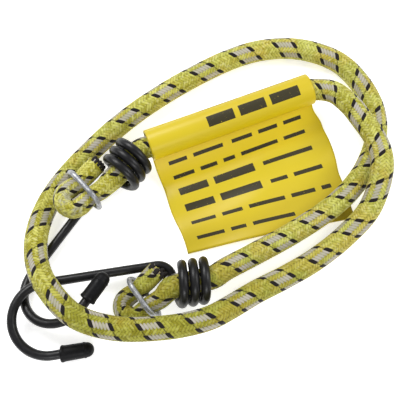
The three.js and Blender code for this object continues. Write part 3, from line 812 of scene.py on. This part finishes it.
def cut_end_yarns(hook, name):
    """Yarn stubs round a cut end: each is a short blunt sweep from the rim that bends outwards by
    the square of its share of length. Thick dark ones stand at the hook's own angles, and thin
    plain and pale ones between them, with lengths and leans that are random but seeded."""
    before, end = folded_end(hook)[0][-2:, :3]
    direction = unit(end - before)
    across = unit(np.cross(UP, direction))
    over = np.cross(direction, across)
    chance = np.random.default_rng(hook["yarn_seed"])
    dark = np.radians(hook["dark_ends"])
    count = len(dark) + FILL_YARNS
    is_dark = np.arange(count) < len(dark)
    step = np.arange(FILL_YARNS) + chance.uniform(-0.3, 0.3, FILL_YARNS)
    angle = np.concatenate([dark, TAU * step / FILL_YARNS])

    def drawn(for_dark, for_fill):
        return np.where(is_dark, *(chance.uniform(*span, count) for span in (for_dark, for_fill)))

    layer = drawn((3.4, 3.6), (3.1, 3.6))
    long = drawn((2.1, 2.5), (0.8, 1.4))
    lean = drawn((0.0, 0.3), (-0.1, 0.3))
    outward = (across[None] * (FOLD_WIDTH_SHARE * np.cos(angle))[:, None]
               + over[None] * np.sin(angle)[:, None])
    t = np.linspace(0, 1, YARN_STATIONS)
    line = (end + outward[:, None] * (layer[:, None] + lean[:, None] * t ** 2)[..., None]
            + direction * (long[:, None] * t - YARN_ROOT)[..., None])
    round_outward = unit(outward)
    beside = np.cross(direction, round_outward)
    thick = np.where(is_dark, hook["dark_radius"], FILL_RADIUS)
    taper = thick[:, None] * np.sqrt(np.clip(1.05 - t ** 8, 0, 1))
    turn = TAU * np.arange(YARN_SIDES) / YARN_SIDES
    rings = (line[:, :, None]
             + taper[..., None, None] * (round_outward[:, None, None] * np.cos(turn)[:, None]
                                         + beside[:, None, None] * np.sin(turn)[:, None]))
    each = YARN_STATIONS * YARN_SIDES + 2
    faces = [tube_faces(YARN_STATIONS, YARN_SIDES, first=i * each) for i in range(count)]
    vertices = np.concatenate([rings.reshape(count, -1, 3), line[:, :1], line[:, -1:]],
                              axis=1).reshape(-1, 3)
    piece = mesh_object(name, vertices, np.concatenate([q for q, _ in faces]),
                        np.concatenate([t for _, t in faces]))
    kind = np.where(is_dark, 1.0, chance.choice(2, count, p=(0.45, 0.55)) * 0.5)
    kinds = piece.data.attributes.new("yarn_kind", "FLOAT", "POINT")
    kinds.data.foreach_set("value", np.repeat(kind, each).astype(np.float32))
    return piece


def yarn_end_finish(settings):
    """Cut yarns: plain, pale or dark by their kind, with fine filaments."""
    f = Finish("cut_yarn", {"Roughness": 0.85})
    kind = f.add("ShaderNodeAttribute", {"attribute_name": "yarn_kind"}, output=2)
    fine = f.noise(f.place(), 2600.0, 3.0, 0.7)
    shade = f.mix(kind.near(0.5, 0.2), settings.yarn, settings.tracer)
    shade = f.mix(kind.near(1.0, 0.2), shade, settings.dash)
    shade = f.mix(fine.ramp(0.35, 0.6) * 0.35, shade, (0.4, 0.38, 0.3), "MULTIPLY")
    f.connect("Base Color", shade)
    f.bump(fine, 0.6, 0.1 * MM)
    return f.material


def hook_matrix(hook):
    """Turns a hook's own directions to how it lies: roll first, then pitch, then heading."""
    heading, pitch, roll = (math.radians(hook[k]) for k in ("heading", "pitch", "roll"))
    ch, sh, cp, sp, cr, sr = (f(a) for a in (heading, -pitch, roll) for f in (math.cos, math.sin))
    about_z = np.array([[ch, -sh, 0], [sh, ch, 0], [0, 0, 1]])
    about_y = np.array([[cp, 0, sp], [0, 1, 0], [-sp, 0, cp]])
    about_x = np.array([[1, 0, 0], [0, cr, -sr], [0, sr, cr]])
    return about_z @ about_y @ about_x


def laid(hook, points):
    """Points of a hook's own frame, as the hook lies."""
    return points @ hook_matrix(hook).T + hook["middle"]


def hook_line():
    """Wire of a hook in its own frame: three turns of a helix, a quarter circle out to the shank,
    the straight shank, a half circle for the bend and a straight leg back to the tip."""
    def level(x, y):
        """Points beside the coil's lowest ones."""
        return np.column_stack(np.broadcast_arrays(x, y, -COIL_RADIUS))

    turn = TAU * COIL_TURNS * np.linspace(0, 1, COIL_TURNS * 36 + 1)
    coil = np.column_stack([COIL_LENGTH * (turn / (TAU * COIL_TURNS) - 0.5),
                            -COIL_RADIUS * np.sin(turn), -COIL_RADIUS * np.cos(turn)])
    quarter = np.linspace(0, np.pi / 2, 10)
    lead = level(COIL_LENGTH / 2 + LEAD_STAND + LEAD_BEND * (1 - np.cos(quarter)),
                 LEAD_BEND * (1 - np.sin(quarter)) - SHANK_OFFSET)
    shank = level(np.linspace(lead[-1, 0], SHANK_REACH, 12)[1:-1], -SHANK_OFFSET)
    half = np.linspace(0, np.pi, 40)
    bend = level(SHANK_REACH + HOOK_RADIUS * np.sin(half),
                 HOOK_RADIUS * (1 - np.cos(half)) - SHANK_OFFSET)
    tip_end = SHANK_REACH - TIP_LEG - CAP_DEPTH + TIP_STAND
    tip = level(np.linspace(SHANK_REACH, tip_end, 7)[1:], 2 * HOOK_RADIUS - SHANK_OFFSET)
    return spline(np.vstack([coil, lead, shank, bend, tip]), 3)


def hook_wire(hook, letter, settings):
    """Coated wire along the hook's line, whose radius wanders a little."""
    points = laid(hook, hook_line())
    _, across, over = steady_frames(points)
    radius = (WIRE_RADIUS + WIRE_PROUD
              + settings.waviness / MM * noise_rows(len(points), 6, hook["wire_seed"]))
    return wire_tube(f"hook_{letter}_coated_wire", points, across, over, radius, radius,
                     settings.wire_sides, WIRE_DOME)


def cap(hook, letter):
    """Moulded cap: its profile turned about the tip's line. Past the collar the radius follows a
    quarter ellipse to the tip. The mouth is cut on a slant: the first 3 mm slide along the axis
    by the cosine of the angle."""
    angle = np.linspace(0, np.pi / 2, 12)[1:-1]
    last = CAP_PROFILE[-1]
    dome = np.column_stack([last[0] + (CAP_LENGTH - last[0]) * np.sin(angle),
                            last[1] * np.cos(angle)])
    profile = spline(np.vstack([CAP_PROFILE, dome, [[CAP_LENGTH, 0.08]]]), 3)
    turn = TAU * np.arange(CAP_SIDES) / CAP_SIDES
    slant = CAP_SLANT * (1 - smooth(profile[:, :1] / 3.0)) * (1 + np.cos(turn - 2.2))[None]
    x = SHANK_REACH - TIP_LEG - profile[:, :1] - slant
    # about a line that runs to -x, the rings turn clockwise seen from +x
    y = 2 * HOOK_RADIUS - SHANK_OFFSET + profile[:, 1:] * np.cos(turn)[None]
    z = -COIL_RADIUS - profile[:, 1:] * np.sin(turn)[None]
    return tube(f"hook_{letter}_cap", laid(hook, np.stack(np.broadcast_arrays(x, y, z), axis=-1)))


def clamp_ring(hook, letter, settings):
    """Clamp ring: a rounded box of wire round the two legs of the fold, whose ends stop a gap
    apart underneath. The wire's section is an ellipse, flatter where the tool pressed the top."""
    _, middle, out, side, clamp_half = folded_end(hook)
    upright = unit(np.cross(side, out))
    upright = upright * np.sign(upright[2])
    spread = CUT_SPREAD * RING_RADIUS / CUT_TO_CLAMP
    half_width = (clamp_half + CORD_DIAMETER * CLAMP_WIDTH_SHARE / 2 + spread + RING_PLAY
                  + RING_RADIUS)
    half_height = CORD_RADIUS / math.cos(math.pi / 12) + RING_PLAY + RING_RADIUS
    corner = half_height * RING_CORNER_SHARE
    quarter = np.linspace(0, np.pi / 2, 14)
    parts = [np.array([[TURN_GAP / 2, -half_height]])]
    for turn, (sx, sy) in enumerate(((1, -1), (1, 1), (-1, 1), (-1, -1))):
        angle = quarter + np.pi / 2 * (turn - 1)
        parts.append(np.column_stack([sx * (half_width - corner) + corner * np.cos(angle),
                                      sy * (half_height - corner) + corner * np.sin(angle)]))
    parts.append(np.array([[-TURN_GAP / 2, -half_height]]))
    outline = spline(np.vstack(parts), 4)
    points = middle + outline[:, :1] * side + outline[:, 1:] * upright
    across = np.broadcast_to(out, points.shape)
    over = np.cross(unit(np.gradient(points, axis=0)), across)
    pressed = settings.flattening * smooth(outline[:, 1] / half_height * 2 - 0.6)
    return wire_tube(f"clamp_ring_{letter}_wire", points, across, over,
                     RING_RADIUS * (1 + 0.5 * pressed), RING_RADIUS * (1 - pressed),
                     RING_SIDES, RING_DOME)


def label_section():
    """Middle line of the label's strip, with x away from the tube's axis and y up, from the outer
    ply's edge up the flap, round the tube and back down to the inner ply's edge."""
    middle = LABEL_BORE / 2 + LABEL_PLY / 2
    seam = np.array([middle * math.cos(LABEL_SEAM_ANGLE),
                     LABEL_AXIS_HEIGHT + middle * math.sin(LABEL_SEAM_ANGLE)])
    share = np.linspace(1, 0, 22)
    fall = 2 * smooth((share + 1) / 2) - 1
    drop = np.column_stack([seam[0] + (LABEL_RUN - seam[0]) * share,
                            seam[1] + (LABEL_PLY - seam[1]) * fall])
    flat = np.column_stack([np.linspace(LABEL_FLAP, LABEL_RUN, 34)[:-1],
                            np.full(33, LABEL_PLY)])
    flap = np.vstack([flat, drop])
    half_seam = math.asin(LABEL_PLY / 2 / middle)
    turn = np.linspace(LABEL_SEAM_ANGLE + half_seam, LABEL_SEAM_ANGLE + TAU - half_seam, 60)
    ring = np.column_stack([middle * np.cos(turn), LABEL_AXIS_HEIGHT + middle * np.sin(turn)])
    return flap, ring


def label(settings):
    """Folded strip: the section carried along the tube's axis, with the flap's edge cut on a
    slant that sags by the share of the label's length to the power of 1.5, and waves that are 0
    at the tube and grow over the flap as cosines. The plies lie half a ply to either side of the
    flap's middle line, and a Solidify modifier gives them their thickness."""
    flap, ring = label_section()
    normal = np.gradient(flap, axis=0)
    normal = unit(np.column_stack([normal[:, 1], -normal[:, 0]]))
    normal *= np.sign(normal[len(normal) // 3, 1])
    outer = flap + normal * LABEL_PLY / 2
    inner = (flap - normal * LABEL_PLY / 2)[::-1]
    section = np.vstack([outer, ring, inner])
    across = lengths_along(section)
    start, axis, side = label_frame()
    along_label = np.linspace(0, 1, LABEL_STATIONS)[:, None]
    reach = (LABEL_FLAP_SHORT + (LABEL_FLAP - LABEL_FLAP_SHORT) * along_label
             + FLAP_SAG[0] + FLAP_SAG[1] * along_label ** 1.5)
    linear = np.clip((section[:, 0] - LABEL_RUN) / (LABEL_FLAP - LABEL_RUN), 0, 1)
    x = np.where(section[:, 0] > LABEL_RUN,
                 LABEL_RUN + (reach - LABEL_RUN) * linear[None], section[None, :, 0])
    y = np.broadcast_to(section[:, 1], x.shape).copy()
    # soft waves: low ridges that run beside the tube and fade near the crossing cord
    wave = settings.wave / MM
    ridge = 0.5 - 0.5 * np.cos(TAU * (x / FLAP_RIDGES + 0.35 * along_label + 0.1))
    lift = 0.5 - 0.5 * np.cos(TAU * (along_label * 1.6 + x / 60 + 0.2))
    clear = 1 - 0.75 * smooth((along_label - 0.45) * 3) * smooth((x - 24) / 8)
    y += wave * (ridge * 0.75 + lift * 0.6) * smooth((x - 7) / 9) * clear
    z = LABEL_LENGTH * along_label
    edge = 0.35 * np.sin(TAU * (x / 21 + 0.15)) * smooth((x - 4) / 12)
    bulge = FLAP_BULGE * smooth((x - 5) / 6) * smooth((32 - x) / 16)
    tuck = FLAP_TUCK * smooth((x - 34) / 12)
    z = z + edge * (2 * along_label - 1) * 0.9 + (bulge - tuck) * smooth(along_label * 2 - 1)
    grid = (np.array([start[0], start[1], 0]) + z[..., None] * axis + x[..., None] * side
            + y[..., None] * UP)
    rows, columns = grid.shape[:2]
    base = np.arange(rows - 1)[:, None] * columns + np.arange(columns - 1)[None]
    quads = np.stack([base, base + 1, base + columns + 1, base + columns],
                     axis=-1).reshape(-1, 4)[:, ::-1]
    place = np.stack(np.broadcast_arrays(z, across[None]), axis=-1)
    uv = np.stack([place[:-1, :-1], place[:-1, 1:], place[1:, 1:], place[1:, :-1]],
                  axis=2).reshape(-1, 4, 2)[:, ::-1]
    piece = mesh_object("folded_label", grid.reshape(-1, 3), quads, quad_uv=uv)
    plies = piece.modifiers.new("Plies", "SOLIDIFY")
    plies.thickness = LABEL_PLY * FILM_SHARE * MM
    plies.offset = 0
    return piece, across[-1] * MM


# ---------------------------------------------------------------- operators

class BUNGEE_OT_camera(bpy.types.Operator):
    """Places the camera over the laid-down cord"""
    bl_idname = "bungee.camera"
    bl_label = "Camera"

    def execute(self, context):
        stage = context.scene.bungee_stage
        back = np.array([0.0, -math.cos(stage.elevation), math.sin(stage.elevation)])
        data = bpy.data.cameras.new("camera")
        data.sensor_width = 36
        data.lens = stage.lens
        data.clip_start = 0.01
        camera = bpy.data.objects.new("camera", data)
        camera.location = LOOK_AT * MM + back * stage.distance
        camera.rotation_euler = (math.pi / 2 - stage.elevation, 0, 0)
        context.scene.collection.objects.link(camera)
        context.scene.camera = camera
        return {"FINISHED"}


class BUNGEE_OT_cord(bpy.types.Operator):
    """Builds the braided sheath along the whole cord, and the yarns at its cut ends"""
    bl_idname = "bungee.cord"
    bl_label = "Braided Cord"

    def execute(self, context):
        settings = context.scene.bungee_cord
        piece, path = sheath(settings)
        give(piece, braid_finish(settings), "braid", "cord", "braided_sheath")
        finish = yarn_end_finish(settings)
        ends = [give(cut_end_yarns(hook, f"cut_yarns_{letter}"), finish, "braid", "cord")
                for letter, hook in HOOKS.items()]
        rubber = rubber_finish(settings)
        strands = [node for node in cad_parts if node.startswith("rubber_strand")]
        for strand in strands:
            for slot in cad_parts[strand].material_slots:
                slot.material = rubber
        return {"FINISHED"}


class BUNGEE_OT_hooks(bpy.types.Operator):
    """Builds the two coiled wire hooks and their tip caps"""
    bl_idname = "bungee.hooks"
    bl_label = "Hooks"

    def execute(self, context):
        settings = context.scene.bungee_hooks
        coat = coat_finish(settings)
        moulded = cap_finish(settings)
        for letter, hook in HOOKS.items():
            give(hook_wire(hook, letter, settings), coat, "coated_wire", f"hook_{letter}",
                 f"hook_{letter}_wire")
            give(cap(hook, letter), moulded, "cap", f"hook_{letter}", f"hook_{letter}_tip_cap")
        return {"FINISHED"}


class BUNGEE_OT_rings(bpy.types.Operator):
    """Builds the two clamp rings that hold the folded ends"""
    bl_idname = "bungee.rings"
    bl_label = "Clamp Rings"

    def execute(self, context):
        settings = context.scene.bungee_rings
        zinc = zinc_finish(settings)
        for letter, hook in HOOKS.items():
            give(clamp_ring(hook, letter, settings), zinc, "galvanised_wire", "cord",
                 f"clamp_ring_{letter}")
        return {"FINISHED"}


class BUNGEE_OT_label(bpy.types.Operator):
    """Builds the folded vinyl label with its plain printed bars"""
    bl_idname = "bungee.label"
    bl_label = "Label"

    def execute(self, context):
        settings = context.scene.bungee_label
        piece, flat_width = label(settings)
        give(piece, label_finish(settings), "vinyl", "label", "label")
        return {"FINISHED"}


class BUNGEE_OT_stage(bpy.types.Operator):
    """Lays the pale floor and hangs the soft lights"""
    bl_idname = "bungee.stage"
    bl_label = "Stage"

    def execute(self, context):
        scene = context.scene
        corners = np.array([[-1, -1], [1, -1], [1, 1], [-1, 1]]) * FLOOR_HALF
        floor = mesh_object("floor", np.column_stack([corners, np.full(4, -FLOOR_DROP)]),
                            np.array([[0, 1, 2, 3]]))
        f = Finish("floor_paper", {"Roughness": 0.9, "Emission Color": (1, 1, 1, 1),
                                   "Emission Strength": 0.6})
        grain = f.noise(f.place(), 40.0)
        f.connect("Base Color",
                  f.mix(grain * 0.05, scene.bungee_stage.floor, (0.86, 0.86, 0.86)))
        floor.data.materials.append(f.material)
        scene.world = bpy.data.worlds.new("studio")
        scene.world.use_nodes = True
        background = scene.world.node_tree.nodes["Background"]
        background.inputs["Color"].default_value = (1, 1, 1, 1)
        background.inputs["Strength"].default_value = WORLD_STRENGTH
        for name, (power, size, place) in LIGHTS.items():
            data = bpy.data.lights.new(name, "AREA")
            data.shape = "RECTANGLE"
            data.size, data.size_y = size
            data.energy = power
            light = bpy.data.objects.new(name, data)
            light.location = place
            x, y, z = unit(np.array(place))
            light.rotation_euler = (math.acos(z), 0, math.atan2(y, x) + math.pi / 2)
            scene.collection.objects.link(light)
        scene.view_settings.view_transform = "Standard"
        scene.view_settings.look = "None"
        return {"FINISHED"}


class BUNGEE_PT_panel(bpy.types.Panel):
    """Lists the bungee cord's pieces"""
    bl_idname = "BUNGEE_PT_panel"
    bl_label = "Bungee Cord"
    bl_space_type = "VIEW_3D"
    bl_region_type = "UI"
    bl_category = "Bungee"

    def draw(self, context):
        for operator in STEPS:
            self.layout.operator(operator.bl_idname)
        for group in GROUPS:
            for name in GROUPS[group].__annotations__:
                self.layout.prop(getattr(context.scene, group), name)


STEPS = (BUNGEE_OT_camera, BUNGEE_OT_cord, BUNGEE_OT_hooks, BUNGEE_OT_rings, BUNGEE_OT_label,
         BUNGEE_OT_stage)
GROUPS = {
    "bungee_cord": BungeeCordSettings,
    "bungee_hooks": BungeeHookSettings,
    "bungee_rings": BungeeRingSettings,
    "bungee_label": BungeeLabelSettings,
    "bungee_stage": BungeeStageSettings,
}


def register():
    for kind in (*GROUPS.values(), *STEPS, BUNGEE_PT_panel):
        bpy.utils.register_class(kind)
    for name, kind in GROUPS.items():
        setattr(bpy.types.Scene, name, PointerProperty(type=kind))


def unregister():
    for name in GROUPS:
        delattr(bpy.types.Scene, name)
    for kind in (BUNGEE_PT_panel, *reversed(STEPS), *reversed(GROUPS.values())):
        bpy.utils.unregister_class(kind)


def main():
    """Runs the steps in order."""
    register()
    bpy.ops.bungee.camera()
    bpy.ops.bungee.cord()
    bpy.ops.bungee.hooks()
    bpy.ops.bungee.rings()
    bpy.ops.bungee.label()
    bpy.ops.bungee.stage()


if __name__ == "__main__":
    main()
